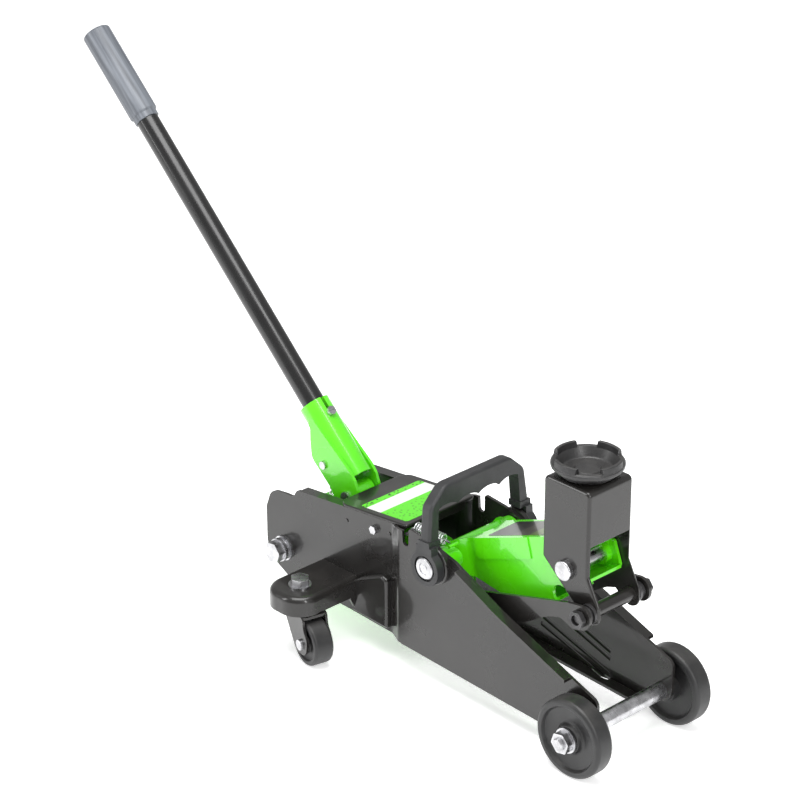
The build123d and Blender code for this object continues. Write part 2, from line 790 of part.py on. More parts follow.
def return_spring():
    """Tension spring on the right, from a peg on the frame to a peg on the arm's root."""
    peg = arm_point(13.0, 14.2)
    front = (peg[0] - 6.6, -41.7, peg[1] + 4.4)
    back = (-225.0, -41.7, 151.6)
    body = coil(front, back, 4.4, 0.9, 12)
    for p, q in ((front, (peg[0], -41.7, peg[1] + 3.6)), (back, (-231.0, -41.7, 147.6))):
        v = Vector(*q) - Vector(*p)
        plane = Plane(origin=Vector(*p), z_dir=v.normalized())
        body += plane.location * Pos(0, 0, v.length / 2) * Cylinder(0.9, v.length)
    return body


def spring_peg():
    return rod_y(-232.0, 144.0, -38.0, -PLATE_IN, 1.6)


# ---------------------------------------------------------------- handle
def handle_socket():
    outer = Pos(0, 0, (1 + 84) / 2) * Cylinder(SOCKET_R, 83.0)
    outer -= Pos(0, 0, 62) * Cylinder(TUBE_R + RUN, 44.2)
    outer -= Pos(0, 0, 20) * Cylinder(CHEEK_IN, 40.2)
    outer -= Pos(-30 - 1.5, 0, 20) * Box(60, 2 * CHEEK_IN, 40.2)
    cheek_pts = [
        (70, -5, 4),
        (64, -6, 6),
        (56, -14.5, 8),
        (42, -26.5, 12),
        (8, -25.0, 10),
        (-3, -27.5, 6),
        (-12, -17.5, 6),
        (-17, -4, 7),
        (-16, 6, 4),
        (-4, 11.5, 4),
        (6, 12.2, 0),
        (70, 4.0, 0),
    ]
    for s in (-1, 1):
        lo, hi = min(s * CHEEK_IN, s * CHEEK_OUT), max(s * CHEEK_IN, s * CHEEK_OUT)
        face = Face(loop(cheek_pts, lambda a, b: Vector(b, lo, a)))
        cheek = extrude(face, hi - lo, dir=(0, 1, 0))
        outer += cheek
    outer -= Pos(0, 0, 64) * Cylinder(TUBE_R + RUN, 48.2)
    outer -= Pos(12, 0, 75) * Box(12, 3.6, 22)
    outer -= Pos(12, 0, 67) * Rot(0, 90, 0) * Cylinder(2.6, 14)
    body = to_handle(outer)
    body -= rod_y(PH[0], PH[1], -30, 30, 4.0 + RUN)
    body -= rod_y(PUSH[0], PUSH[1], -30, 30, 4.0)
    return body


def socket_screw():
    head = Pos(17.2, 0, 67) * Rot(0, 90, 0) * Cylinder(4.4, 3.6)
    shank = Pos(13.6, 0, 67) * Rot(0, 90, 0) * Cylinder(2.5, 4.2)
    slot = Pos(19.0, 0, 67) * Box(2.0, 9.0, 1.0)
    return to_handle(head + shank - slot)


def socket_pin():
    pin = rod_y(PH[0], PH[1], -15.3, 15.3, 4.0)
    for s in (-1, 1):
        pin += rod_y(PH[0], PH[1], s * 15.4, s * 17.8, 6.0) + rod_y(PH[0], PH[1], s * 15, s * 16, 4.0)
    return pin


def push_pin():
    """Cross pin of the socket with the sleeve that presses on the pump plunger."""
    pin = rod_y(PUSH[0], PUSH[1], -17.4, 17.4, 4.0)
    return pin + rod_y(PUSH[0], PUSH[1], -11.8, 11.8, 8.0)


def handle_tube():
    tube = Pos(0, 0, (42 + 506) / 2) * Cylinder(TUBE_R, 464.0)
    tube -= Pos(0, 0, (42 + 506) / 2) * Cylinder(TUBE_R - 1.6, 480.0)
    return to_handle(tube)


def handle_grip():
    half = [
        (TUBE_R, 411.0, 0),
        (12.6, 411.0, 0.6),
        (12.6, 417.0, 0),
        (14.3, 418.6, 0.8),
        (14.3, 515.0, 3.0),
        (0, 516.5, 0),
        (0, 507.0, 0),
        (TUBE_R, 507.0, 0),
    ]
    face = Face(loop(half, lambda a, b: Vector(a, 0, b)))
    return to_handle(revolve(face, axis=Axis.Z))


# ---------------------------------------------------------------- carry handle
CARRY_LEAN = 3.0


def carry_handle():
    """Moulded U handle with finger scallops, pivoting on the main shaft's ends."""
    outer = [
        (-65.3, 21, 0),
        (65.3, 21, 0),
        (60.5, 60, 12),
        (42, 77, 14),
        (-42, 77, 14),
        (-60.5, 60, 12),
    ]
    solid = slab_handle(outer, -6.5, 6.5)
    solid -= slab_handle([(-54.5, 0, 0), (54.5, 0, 0), (51.5, 54.5, 3), (-51.5, 54.5, 3)], -20, 20)
    for k in range(4):
        y = (k - 1.5) * 27.0
        reach = Pos(0, y, 32.5) * Rot(0, 90, 0) * Cylinder(26.0, 40)
        solid -= reach & Pos(0, y * 0.93, 45) * Box(40, 26.8, 60)
    edges = solid.edges().filter_by(lambda e: e.center().Z > 25 and abs(abs(e.center().X) - 6.5) < 0.2)
    edges = edges.filter_by(lambda e: e.center().Z > 60 or abs(e.center().Y) > 56)
    solid = fillet(edges, 3.0)
    for s in (-1, 1):
        solid -= Pos(0, s * 45.0, 10) * Box(60, 13.0, 36)
        ring = Pos(0, s * 61.7, 0) * Rot(90, 0, 0) * Cylinder(17.4, 8.6)
        stop = Pos(0, s * 61.7, 17.5) * Box(20, 8.6, 9)
        foot = Pos(0, s * 58.9, 24.0) * Box(14.6, 14.2, 6.0)
        solid += ring + stop + foot
        solid -= Pos(0, s * 61.7, 0) * Rot(90, 0, 0) * Cylinder(10.5 + RUN, 20.0)
        solid -= Pos(0, s * 65.5, 0) * Rot(90, 0, 0) * Cylinder(12.6, 4.0)
    return Pos(P0[0], 0, P0[1]) * Rot(0, -CARRY_LEAN, 0) * solid


def slab_handle(points, x0, x1):
    face = Face(loop(points, lambda a, b: Vector(x0, a, b)))
    return extrude(face, x1 - x0, dir=(1, 0, 0))


# ---------------------------------------------------------------- write everything
SIDES = {"right": -1, "left": 1}
for word, s in SIDES.items():
    save(f"side_plate_{word}", side_plate(s))
    save(f"caster_ear_{word}", caster_ear(s))
    save(f"front_wheel_{word}", front_wheel(s))
    save(f"caster_fork_{word}", caster_place(s, caster_fork()))
    save(f"caster_wheel_{word}", caster_place(s, caster_wheel()))
    save(f"caster_axle_{word}", caster_place(s, caster_axle()))
    save(f"caster_race_{word}", caster_place(s, caster_race()))
    save(f"link_bar_{word}", link_bar(s))
save("top_cover", top_cover())
save("side_screws", *side_screws())
save("front_axle", front_axle())
save("axle_nuts", axle_nut(-1), axle_nut(1))
save("axle_washers", axle_washer(-1), axle_washer(1))
save("front_spacer", front_spacer())
save("tie_bolt", tie_bolt())
save("tie_washers", *tie_washers())
save("tie_nut", tie_nut())
save("king_bolts", king_bolt(-1), king_bolt(1))
save("king_washers", king_washer(-1), king_washer(1))
save("king_nuts", king_nut(-1), king_nut(1))
save("main_shaft", main_shaft())
save("pivot_caps", pivot_cap(-1), pivot_cap(1))
save("lift_arm", lift_arm())
save("crank_pin", crank_pin())
save("saddle_pin", saddle_pin())
save("saddle_bracket", saddle_bracket())
save("lower_spacer", lower_spacer())
save("lower_bolt", lower_bolt())
save("lower_washers", *lower_washers())
save("lower_nuts", *lower_nuts())
save("saddle_cup", saddle_cup())
save("link_pins", link_pin(-1), link_pin(1))
save("pump_body", pump_body())
save("ram_cylinder", ram_cylinder())
save("tank_tube", tank_tube())
save("tank_nut", tank_nut())
save("filler_plug", filler_plug())
save("overload_screw", overload_screw())
save("release_valve", release_valve())
save("ram_rod", ram_rod())
save("pump_plunger", pump_plunger())
save("plunger_spring", plunger_spring())
save("return_spring", return_spring())
save("spring_peg", spring_peg())
save("handle_socket", handle_socket())
save("socket_screw", socket_screw())
save("socket_pin", socket_pin())
save("push_pin", push_pin())
save("handle_tube", handle_tube())
save("handle_grip", handle_grip())
save("carry_handle", carry_handle())
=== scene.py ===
# %% [markdown]
# # A hydraulic floor jack, finished in Blender
#
# The chassis, the lift arm, the saddle, the wheels and every joint arrive as a packed
# frame of exact parts. This lesson gives those parts their finishes: lime paint, black
# powder coat, zinc plate, moulded nylon, a vinyl sleeve. It then adds the thin printed
# labels that a solid modeller would rather leave out, and sets a quiet studio round it.

import json
import math

import bpy
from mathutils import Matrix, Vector


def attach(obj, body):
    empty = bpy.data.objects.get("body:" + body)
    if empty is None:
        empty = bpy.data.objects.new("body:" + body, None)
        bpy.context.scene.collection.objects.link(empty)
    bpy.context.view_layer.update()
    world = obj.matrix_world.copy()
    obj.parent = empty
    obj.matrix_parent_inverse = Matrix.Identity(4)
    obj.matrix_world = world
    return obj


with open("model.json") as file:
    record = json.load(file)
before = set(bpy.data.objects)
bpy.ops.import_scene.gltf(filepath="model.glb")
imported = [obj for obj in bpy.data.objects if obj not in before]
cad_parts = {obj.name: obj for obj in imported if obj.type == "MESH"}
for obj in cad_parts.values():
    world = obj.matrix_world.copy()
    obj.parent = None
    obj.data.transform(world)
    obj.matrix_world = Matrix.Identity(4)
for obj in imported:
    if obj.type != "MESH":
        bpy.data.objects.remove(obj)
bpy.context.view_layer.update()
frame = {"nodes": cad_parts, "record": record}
nodes = frame["nodes"]

# %% [markdown]
# ## Small helpers
#
# A shader graph is easier to read when each line says one thing: make a node, join two
# sockets, set a number. These helpers do only that. Everything a material needs is kept
# in its own graph, and what several materials share becomes a node group.


# %% Helpers for shader graphs
def new_node(tree, kind, spot=(0, 0), **settings):
    node = tree.nodes.new(kind)
    node.location = spot
    for key, value in settings.items():
        setattr(node, key, value)
    return node


def join(tree, out_socket, in_socket):
    tree.links.new(out_socket, in_socket)


def ramp_stops(node, stops):
    """Fills a Color Ramp: stops are (position, grey or colour)."""
    ramp = node.color_ramp
    while len(ramp.elements) > len(stops):
        ramp.elements.remove(ramp.elements[-1])
    while len(ramp.elements) < len(stops):
        ramp.elements.new(1.0)
    for element, (place, tone) in zip(ramp.elements, stops):
        element.position = place
        element.color = (*tone, 1.0) if isinstance(tone, tuple) else (tone, tone, tone, 1.0)


def new_material(name):
    material = bpy.data.materials.new(name)
    material.use_nodes = True
    tree = material.node_tree
    tree.nodes.clear()
    out = new_node(tree, "ShaderNodeOutputMaterial", (900, 0))
    shader = new_node(tree, "ShaderNodeBsdfPrincipled", (600, 0))
    join(tree, shader.outputs["BSDF"], out.inputs["Surface"])
    coords = new_node(tree, "ShaderNodeTexCoord", (-900, 0))
    return material, tree, shader, coords.outputs["Object"]


# %% [markdown]
# ## Shared effects
#
# Three effects come back in almost every finish of this jack.
#
# *Fine grain* is a small height field. Powder coat has orange peel, castings have sand
# texture, mouldings have a spark-eroded skin: the same noise at different sizes.
#
# *Tone drift* mixes two near colours over a few centimetres, so that no surface is one
# flat colour. *Soft dust* finds faces that look up and puts a thin, patchy film on them.
# Each is built once as a group with named sockets, then placed with its own numbers.


# %% Group: fine grain
def build_grain():
    group = bpy.data.node_groups.new("Fine grain", "ShaderNodeTree")
    face = group.interface
    face.new_socket("Place", in_out="INPUT", socket_type="NodeSocketVector")
    face.new_socket("Grain size", in_out="INPUT", socket_type="NodeSocketFloat")
    face.new_socket("Wander", in_out="INPUT", socket_type="NodeSocketFloat")
    face.new_socket("Height", in_out="OUTPUT", socket_type="NodeSocketFloat")
    face.new_socket("Patch", in_out="OUTPUT", socket_type="NodeSocketFloat")
    ins = new_node(group, "NodeGroupInput", (-800, 0))
    outs = new_node(group, "NodeGroupOutput", (600, 0))
    fine = new_node(group, "ShaderNodeTexNoise", (-400, 200))
    fine.inputs["Detail"].default_value = 3.0
    fine.inputs["Roughness"].default_value = 0.55
    broad = new_node(group, "ShaderNodeTexNoise", (-400, -200))
    broad.inputs["Detail"].default_value = 4.0
    join(group, ins.outputs["Place"], fine.inputs["Vector"])
    join(group, ins.outputs["Place"], broad.inputs["Vector"])
    join(group, ins.outputs["Grain size"], fine.inputs["Scale"])
    join(group, ins.outputs["Wander"], broad.inputs["Scale"])
    join(group, fine.outputs["Fac"], outs.inputs["Height"])
    join(group, broad.outputs["Fac"], outs.inputs["Patch"])
    return group


grain_group = build_grain()


# %% Group: tone drift
def build_drift():
    group = bpy.data.node_groups.new("Tone drift", "ShaderNodeTree")
    face = group.interface
    face.new_socket("Place", in_out="INPUT", socket_type="NodeSocketVector")
    face.new_socket("Tone", in_out="INPUT", socket_type="NodeSocketColor")
    face.new_socket("Other tone", in_out="INPUT", socket_type="NodeSocketColor")
    face.new_socket("Wander", in_out="INPUT", socket_type="NodeSocketFloat")
    face.new_socket("Color", in_out="OUTPUT", socket_type="NodeSocketColor")
    ins = new_node(group, "NodeGroupInput", (-800, 0))
    outs = new_node(group, "NodeGroupOutput", (500, 0))
    cloud = new_node(group, "ShaderNodeTexNoise", (-500, 0))
    cloud.inputs["Detail"].default_value = 5.0
    cloud.inputs["Roughness"].default_value = 0.6
    spread = new_node(group, "ShaderNodeValToRGB", (-300, 0))
    ramp_stops(spread, [(0.35, 0.0), (0.65, 1.0)])
    mix = new_node(group, "ShaderNodeMix", (100, 0), data_type="RGBA")
    join(group, ins.outputs["Place"], cloud.inputs["Vector"])
    join(group, ins.outputs["Wander"], cloud.inputs["Scale"])
    join(group, cloud.outputs["Fac"], spread.inputs["Fac"])
    join(group, spread.outputs["Color"], mix.inputs["Factor"])
    join(group, ins.outputs["Tone"], mix.inputs["A"])
    join(group, ins.outputs["Other tone"], mix.inputs["B"])
    join(group, mix.outputs["Result"], outs.inputs["Color"])
    return group


drift_group = build_drift()


# %% Group: soft dust
def build_dust():
    group = bpy.data.node_groups.new("Soft dust", "ShaderNodeTree")
    face = group.interface
    face.new_socket("Place", in_out="INPUT", socket_type="NodeSocketVector")
    face.new_socket("Color", in_out="INPUT", socket_type="NodeSocketColor")
    face.new_socket("Amount", in_out="INPUT", socket_type="NodeSocketFloat")
    face.new_socket("Color", in_out="OUTPUT", socket_type="NodeSocketColor")
    face.new_socket("Mask", in_out="OUTPUT", socket_type="NodeSocketFloat")
    ins = new_node(group, "NodeGroupInput", (-1000, 0))
    outs = new_node(group, "NodeGroupOutput", (700, 0))
    shape = new_node(group, "ShaderNodeNewGeometry", (-1000, -300))
    parts = new_node(group, "ShaderNodeSeparateXYZ", (-800, -300))
    up = new_node(group, "ShaderNodeMapRange", (-600, -300))
    up.inputs["From Min"].default_value = 0.35
    up.inputs["From Max"].default_value = 1.0
    cloud = new_node(group, "ShaderNodeTexNoise", (-600, 0))
    cloud.inputs["Scale"].default_value = 60.0
    cloud.inputs["Detail"].default_value = 6.0
    patchy = new_node(group, "ShaderNodeValToRGB", (-400, 0))
    ramp_stops(patchy, [(0.4, 0.15), (0.75, 1.0)])
    times = new_node(group, "ShaderNodeMath", (-100, -100), operation="MULTIPLY")
    much = new_node(group, "ShaderNodeMath", (100, -100), operation="MULTIPLY")
    mix = new_node(group, "ShaderNodeMix", (350, 0), data_type="RGBA")
    mix.inputs["B"].default_value = (0.33, 0.31, 0.28, 1.0)
    join(group, shape.outputs["Normal"], parts.inputs["Vector"])
    join(group, parts.outputs["Z"], up.inputs["Value"])
    join(group, ins.outputs["Place"], cloud.inputs["Vector"])
    join(group, cloud.outputs["Fac"], patchy.inputs["Fac"])
    join(group, patchy.outputs["Color"], times.inputs[0])
    join(group, up.outputs["Result"], times.inputs[1])
    join(group, times.outputs["Value"], much.inputs[0])
    join(group, ins.outputs["Amount"], much.inputs[1])
    join(group, much.outputs["Value"], mix.inputs["Factor"])
    join(group, ins.outputs["Color"], mix.inputs["A"])
    join(group, mix.outputs["Result"], outs.inputs["Color"])
    join(group, much.outputs["Value"], outs.inputs["Mask"])
    return group


dust_group = build_dust()


# %% Group: rubbed edges with a painted highlight
def build_edge_wear_highlight():
    """Compares a rounded normal with the true one: they differ only near an edge."""
    group = bpy.data.node_groups.new("Worn edges and painted highlight", "ShaderNodeTree")
    face = group.interface
    face.new_socket("Place", in_out="INPUT", socket_type="NodeSocketVector")
    face.new_socket("Color", in_out="INPUT", socket_type="NodeSocketColor")
    face.new_socket("Bare", in_out="INPUT", socket_type="NodeSocketColor")
    face.new_socket("Reach", in_out="INPUT", socket_type="NodeSocketFloat")
    face.new_socket("Amount", in_out="INPUT", socket_type="NodeSocketFloat")
    face.new_socket("Color", in_out="OUTPUT", socket_type="NodeSocketColor")
    face.new_socket("Mask", in_out="OUTPUT", socket_type="NodeSocketFloat")
    ins = new_node(group, "NodeGroupInput", (-1100, 0))
    outs = new_node(group, "NodeGroupOutput", (800, 0))
    round_normal = new_node(group, "ShaderNodeBevel", (-800, -200), samples=4)
    shape = new_node(group, "ShaderNodeNewGeometry", (-800, -400))
    dot = new_node(group, "ShaderNodeVectorMath", (-500, -300), operation="DOT_PRODUCT")
    fall = new_node(group, "ShaderNodeMapRange", (-300, -300))
    fall.inputs["From Min"].default_value = 0.97
    fall.inputs["From Max"].default_value = 0.75
    cloud = new_node(group, "ShaderNodeTexNoise", (-500, 100))
    cloud.inputs["Scale"].default_value = 140.0
    cloud.inputs["Detail"].default_value = 5.0
    edge_patches = new_node(group, "ShaderNodeValToRGB", (-300, 100))
    ramp_stops(edge_patches, [(0.42, 0.0), (0.62, 1.0)])
    times = new_node(group, "ShaderNodeMath", (0, -100), operation="MULTIPLY")
    much = new_node(group, "ShaderNodeMath", (200, -100), operation="MULTIPLY")
    # The pale edge tone is part rubbed paint and part painted highlight, standing in for the light a
    # pressed edge catches.
    mix = new_node(group, "ShaderNodeMix", (450, 0), data_type="RGBA")
    join(group, ins.outputs["Reach"], round_normal.inputs["Radius"])
    join(group, round_normal.outputs["Normal"], dot.inputs[0])
    join(group, shape.outputs["Normal"], dot.inputs[1])
    join(group, dot.outputs["Value"], fall.inputs["Value"])
    join(group, ins.outputs["Place"], cloud.inputs["Vector"])
    join(group, cloud.outputs["Fac"], edge_patches.inputs["Fac"])
    join(group, edge_patches.outputs["Color"], times.inputs[0])
    join(group, fall.outputs["Result"], times.inputs[1])
    join(group, times.outputs["Value"], much.inputs[0])
    join(group, ins.outputs["Amount"], much.inputs[1])
    join(group, much.outputs["Value"], mix.inputs["Factor"])
    join(group, ins.outputs["Color"], mix.inputs["A"])
    join(group, ins.outputs["Bare"], mix.inputs["B"])
    join(group, mix.outputs["Result"], outs.inputs["Color"])
    join(group, much.outputs["Value"], outs.inputs["Mask"])
    return group


edge_wear_highlight_group = build_edge_wear_highlight()
print("groups", [g.name for g in bpy.data.node_groups])


# %% [markdown]
# ## One recipe for a coated surface
#
# Paint, powder coat, plate and moulding differ in numbers, not in kind. The recipe below
# starts from two near tones, pales the edges (part rubbing, part painted highlight), lays
# dust, and bumps the normal with the grain. The plain numbers of the shader (metallic,
# coat, roughness) are typed straight into its sockets, so that they survive an export.


# %% The recipe
def place_group(tree, group, place, spot, **values):
    node = new_node(tree, "ShaderNodeGroup", spot)
    node.node_tree = group
    join(tree, place, node.inputs["Place"])
    for key, value in values.items():
        socket = node.inputs[key.replace("_", " ")]
        socket.default_value = (*value, 1.0) if isinstance(value, tuple) else value
    return node


def coated(name, tone, other, *, rough=(0.3, 0.4), metallic=0.0, coat=0.0, coat_rough=0.08,
           grain=900.0, wander=18.0, bump=0.15, bump_depth=0.0002, wear_and_highlight_tone=None, wear_and_highlight=0.0,
           reach=0.0008, dust=0.0, specular=0.5):
    material, tree, shader, place = new_material(name)
    shader.inputs["Metallic"].default_value = metallic
    shader.inputs["Coat Weight"].default_value = coat
    shader.inputs["Coat Roughness"].default_value = coat_rough
    shader.inputs["Specular IOR Level"].default_value = specular
    drift = place_group(tree, drift_group, place, (-600, 200), Tone=tone, Other_tone=other, Wander=wander)
    colour = drift.outputs["Color"]
    # Edges get a pale tone: part rubbed paint, part painted highlight where the light would catch them.
    if wear_and_highlight > 0:
        worn_and_highlit = place_group(tree, edge_wear_highlight_group, place, (-300, 200), Bare=wear_and_highlight_tone, Reach=reach, Amount=wear_and_highlight)
        join(tree, colour, worn_and_highlit.inputs["Color"])
        colour = worn_and_highlit.outputs["Color"]
    if dust > 0:
        film = place_group(tree, dust_group, place, (0, 200), Amount=dust)
        join(tree, colour, film.inputs["Color"])
        colour = film.outputs["Color"]
    join(tree, colour, shader.inputs["Base Color"])
    skin = place_group(tree, grain_group, place, (-600, -200), Grain_size=grain, Wander=wander * 1.7)
    spread = new_node(tree, "ShaderNodeMapRange", (0, -100))
    spread.inputs["From Min"].default_value = 0.3
    spread.inputs["From Max"].default_value = 0.7
    spread.inputs["To Min"].default_value = rough[0]
    spread.inputs["To Max"].default_value = rough[1]
    join(tree, skin.outputs["Patch"], spread.inputs["Value"])
    join(tree, spread.outputs["Result"], shader.inputs["Roughness"])
    dent = new_node(tree, "ShaderNodeBump", (300, -300))
    dent.inputs["Strength"].default_value = bump
    dent.inputs["Distance"].default_value = bump_depth
    join(tree, skin.outputs["Height"], dent.inputs["Height"])
    join(tree, dent.outputs["Normal"], shader.inputs["Normal"])
    return material


# %% [markdown]
# ## The finishes
#
# The jack has few finishes, each with its own marks; on most, pale edges are part rubbing
# and part painted highlight. Powder coat is black and faintly pebbled, and goes grey at its
# pressed edges. Lime paint is glossy, with a clear layer that carries the sharp highlight.
# Zinc is a pale metal whose brightness drifts. Nylon wheels are duller than paint. The vinyl sleeve has
# lengthwise streaks.

# %% Paints and plates
# Each pale edge tone below is part rubbing, part painted highlight.
powder_black = coated(
    "Powder black", (0.0100, 0.0092, 0.0086), (0.0150, 0.0138, 0.0128),
    rough=(0.24, 0.36), coat=0.55, coat_rough=0.07, grain=420.0, wander=14.0, bump=0.07,
    wear_and_highlight_tone=(0.22, 0.21, 0.20), wear_and_highlight=0.5, reach=0.0006, dust=0.03, specular=0.3,
)
lime_paint = coated(
    "Lime paint", (0.085, 0.640, 0.002), (0.115, 0.740, 0.004),
    rough=(0.22, 0.32), coat=0.9, coat_rough=0.04, grain=260.0, wander=10.0, bump=0.06,
    wear_and_highlight_tone=(0.40, 0.42, 0.36), wear_and_highlight=0.35, reach=0.0005, dust=0.03,
)
zinc_plate = coated(
    "Zinc plate", (0.40, 0.40, 0.41), (0.66, 0.66, 0.68),
    rough=(0.20, 0.40), metallic=1.0, grain=1400.0, wander=90.0, bump=0.25, bump_depth=0.0001,
)
dark_steel = coated(
    "Dark steel", (0.055, 0.054, 0.056), (0.10, 0.098, 0.10),
    rough=(0.30, 0.45), metallic=0.8, grain=1100.0, wander=80.0, bump=0.2, bump_depth=0.0001,
    wear_and_highlight_tone=(0.55, 0.55, 0.56), wear_and_highlight=0.6, reach=0.0005,
)
machined = coated(
    "Machined steel", (0.42, 0.42, 0.43), (0.52, 0.52, 0.53),
    rough=(0.25, 0.38), metallic=1.0, grain=1500.0, wander=60.0, bump=0.2, bump_depth=0.0001,
)
chromed = coated(
    "Chromed rod", (0.80, 0.81, 0.83), (0.86, 0.87, 0.88),
    rough=(0.08, 0.14), metallic=1.0, grain=2000.0, wander=40.0, bump=0.05, bump_depth=0.00005,
)
spring_wire = coated(
    "Spring wire", (0.66, 0.67, 0.68), (0.80, 0.81, 0.82),
    rough=(0.18, 0.30), metallic=1.0, grain=1400.0, wander=160.0, bump=0.15, bump_depth=0.0001,
)
cast_black = coated(
    "Cast black", (0.014, 0.0138, 0.0142), (0.022, 0.0215, 0.022),
    rough=(0.34, 0.52), coat=0.15, coat_rough=0.25, grain=420.0, wander=50.0, bump=0.45,
    bump_depth=0.0005, wear_and_highlight_tone=(0.35, 0.35, 0.36), wear_and_highlight=0.7, reach=0.0008, dust=0.08,
)
nylon_black = coated(
    "Moulded nylon", (0.0125, 0.0125, 0.0130), (0.0190, 0.0190, 0.0195),
    rough=(0.38, 0.50), grain=1000.0, wander=30.0, bump=0.18, bump_depth=0.0002,
    wear_and_highlight_tone=(0.10, 0.10, 0.10), wear_and_highlight=0.5, reach=0.0010, dust=0.10,
)
handle_plastic = coated(
    "Textured plastic", (0.0185, 0.0190, 0.0205), (0.0255, 0.0260, 0.0275),
    rough=(0.42, 0.54), grain=1300.0, wander=40.0, bump=0.4, bump_depth=0.0003,
    wear_and_highlight_tone=(0.12, 0.12, 0.125), wear_and_highlight=0.4, reach=0.0010, dust=0.04,
)
tube_black = coated(
    "Tube paint", (0.0040, 0.0040, 0.0042), (0.0070, 0.0070, 0.0074),
    rough=(0.20, 0.30), coat=0.3, coat_rough=0.1, grain=500.0, wander=12.0, bump=0.08,
    dust=0.03, wear_and_highlight_tone=(0.3, 0.3, 0.3), wear_and_highlight=0.3, reach=0.0005,
)
rubber_black = coated(
    "Rubber", (0.016, 0.016, 0.016), (0.024, 0.024, 0.024),
    rough=(0.55, 0.70), grain=900.0, wander=40.0, bump=0.3,
)

# %% [markdown]
# ## The sleeve on the handle
#
# The sleeve is a soft tube pushed over the end of the handle. Pulling it on and gripping
# it leaves long faint streaks, so its noise is stretched along the handle's own slope:
# the coordinates are turned until one axis lies along the tube, then squeezed on it.

# %% Streaked sleeve
HANDLE_SLOPE = math.radians(43.4)


def streaked_sleeve():
    material, tree, shader, place = new_material("Vinyl sleeve")
    turn = new_node(tree, "ShaderNodeMapping", (-700, 0))
    turn.inputs["Rotation"].default_value = (0.0, -HANDLE_SLOPE, 0.0)
    squeeze = new_node(tree, "ShaderNodeMapping", (-500, 0))
    squeeze.inputs["Scale"].default_value = (12.0, 260.0, 260.0)
    streak = new_node(tree, "ShaderNodeTexNoise", (-300, 0))
    streak.inputs["Scale"].default_value = 1.0
    streak.inputs["Detail"].default_value = 4.0
    tone = new_node(tree, "ShaderNodeValToRGB", (0, 0))
    tone.color_ramp.elements[0].position = 0.34
    tone.color_ramp.elements[0].color = (0.070, 0.078, 0.092, 1.0)
    tone.color_ramp.elements[1].position = 0.68
    tone.color_ramp.elements[1].color = (0.185, 0.200, 0.225, 1.0)
    dent = new_node(tree, "ShaderNodeBump", (300, -300))
    dent.inputs["Strength"].default_value = 0.35
    dent.inputs["Distance"].default_value = 0.0003
    join(tree, place, turn.inputs["Vector"])
    join(tree, turn.outputs["Vector"], squeeze.inputs["Vector"])
    join(tree, squeeze.outputs["Vector"], streak.inputs["Vector"])
    join(tree, streak.outputs["Fac"], tone.inputs["Fac"])
    join(tree, tone.outputs["Color"], shader.inputs["Base Color"])
    join(tree, streak.outputs["Fac"], dent.inputs["Height"])
    join(tree, dent.outputs["Normal"], shader.inputs["Normal"])
    shader.inputs["Roughness"].default_value = 0.42
    return material


sleeve_grey = streaked_sleeve()

# %% Give every node its finish
FINISHES = {
    "black_powder_coat": powder_black,
    "green_paint": lime_paint,
    "zinc": zinc_plate,
    "dark_steel": dark_steel,
    "machined_steel": machined,
    "chrome_rod": chromed,
    "spring_steel": spring_wire,
    "cast_saddle": cast_black,
    "wheel_plastic": nylon_black,
    "handle_plastic": handle_plastic,
    "tube_paint": tube_black,
    "grip_foam": sleeve_grey,
    "seal_rubber": rubber_black,
}
slot_of = {row["node"]: row["material_slot"] for row in frame["record"]["subparts"]}
for name, part in nodes.items():
    part.data.materials.clear()
    part.data.materials.append(FINISHES[slot_of[name]])
print("finished nodes", len(slot_of))


# %% [markdown]
# ## The two stickers
#
# A jack carries printed vinyl stickers: a warning plate on its cover and a decoration on
# top of the lifting arm. Each is a thin sheet with rounded corners, laid on the metal.
# Rays dropped on the part find the height of the metal at two places, so the sheet gets
# the true slope. The print is only bands and flecks: no words and no marks of a maker.

# %% Lay a sticker on a node
PRINT_THICK = 0.00014
PRINT_LIFT = 0.00018
RAY_FROM = 0.6


def top_height(node, x, y=0.0):
    hit, spot, normal, index = nodes[node].ray_cast(Vector((x, y, RAY_FROM)), Vector((0, 0, -1)))
    assert hit, node
    return spot.z


def lay_sticker(name, node, x_back, x_front, half_width, corner):
    near, far = x_back + 0.2 * (x_front - x_back), x_back + 0.6 * (x_front - x_back)
    rise = (top_height(node, far) - top_height(node, near)) / (far - near)
    z_back = top_height(node, near) - rise * (near - x_back)
    z_front = z_back + rise * (x_front - x_back)
    tilt = math.atan(rise)
    long = math.hypot(x_front - x_back, z_front - z_back)
    middle = Vector(((x_back + x_front) / 2, 0.0, (z_back + z_front) / 2 + PRINT_LIFT))
    bpy.ops.object.select_all(action="DESELECT")
    bpy.ops.mesh.primitive_plane_add(size=1.0, location=(0, 0, 0))
    sheet = bpy.context.object
    sheet.name = name
    bpy.ops.object.mode_set(mode="EDIT")
    bpy.ops.mesh.select_all(action="SELECT")
    bpy.ops.transform.resize(value=(long, 2 * half_width, 1.0), center_override=(0, 0, 0))
    bpy.ops.mesh.bevel(offset=corner, segments=5, affect="VERTICES")
    bpy.ops.mesh.select_all(action="SELECT")
    bpy.ops.transform.rotate(value=tilt, orient_axis="Y", center_override=(0, 0, 0))
    bpy.ops.transform.translate(value=middle)
    bpy.ops.object.mode_set(mode="OBJECT")
    thick = sheet.modifiers.new("thick", "SOLIDIFY")
    thick.thickness = PRINT_THICK
    thick.offset = -1.0
    bpy.ops.object.modifier_apply(modifier="thick")
    low = min(v.co.z for v in sheet.data.vertices)
    print(name, "tilt", round(math.degrees(tilt), 2), "long", round(long, 4), "low", round(low, 4))
    return sheet


# %% [markdown]
# ## The print on the cover
#
# From back to front: a green strip broken by dark flecks, a plain white band across, and
# a green field with fainter ones. A stepped ramp along the jack sets the three bands.

